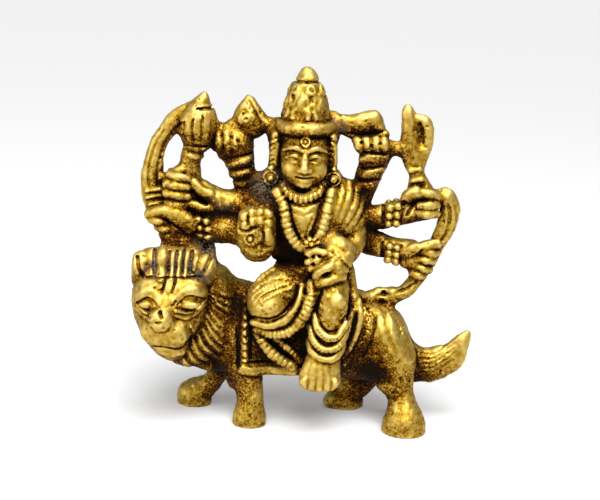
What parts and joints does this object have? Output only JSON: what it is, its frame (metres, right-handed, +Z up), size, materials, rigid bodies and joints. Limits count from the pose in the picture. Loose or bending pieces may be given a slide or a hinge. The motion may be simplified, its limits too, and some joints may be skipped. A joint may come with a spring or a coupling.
{
  "type": "durga figure",
  "caption": "Cast brass figure of a many-armed goddess seated on a walking lion, standing on the lion's own feet.",
  "frame": {"origin": "on the ground under the four feet, at the middle of the figure's bounding box", "axes": "+Z up, -Y the side that the goddess and the lion's face look to, -X the lion's head, +X its tail"},
  "size_m": [0.0682, 0.0274, 0.072],
  "materials": {
    "brass": "as cast, worn bright on the high parts, with dark brown patina in the recesses and small casting pits"
  },
  "bodies": {
    "root": {"durga_on_lion": "brass"}
  },
  "joints": []
}
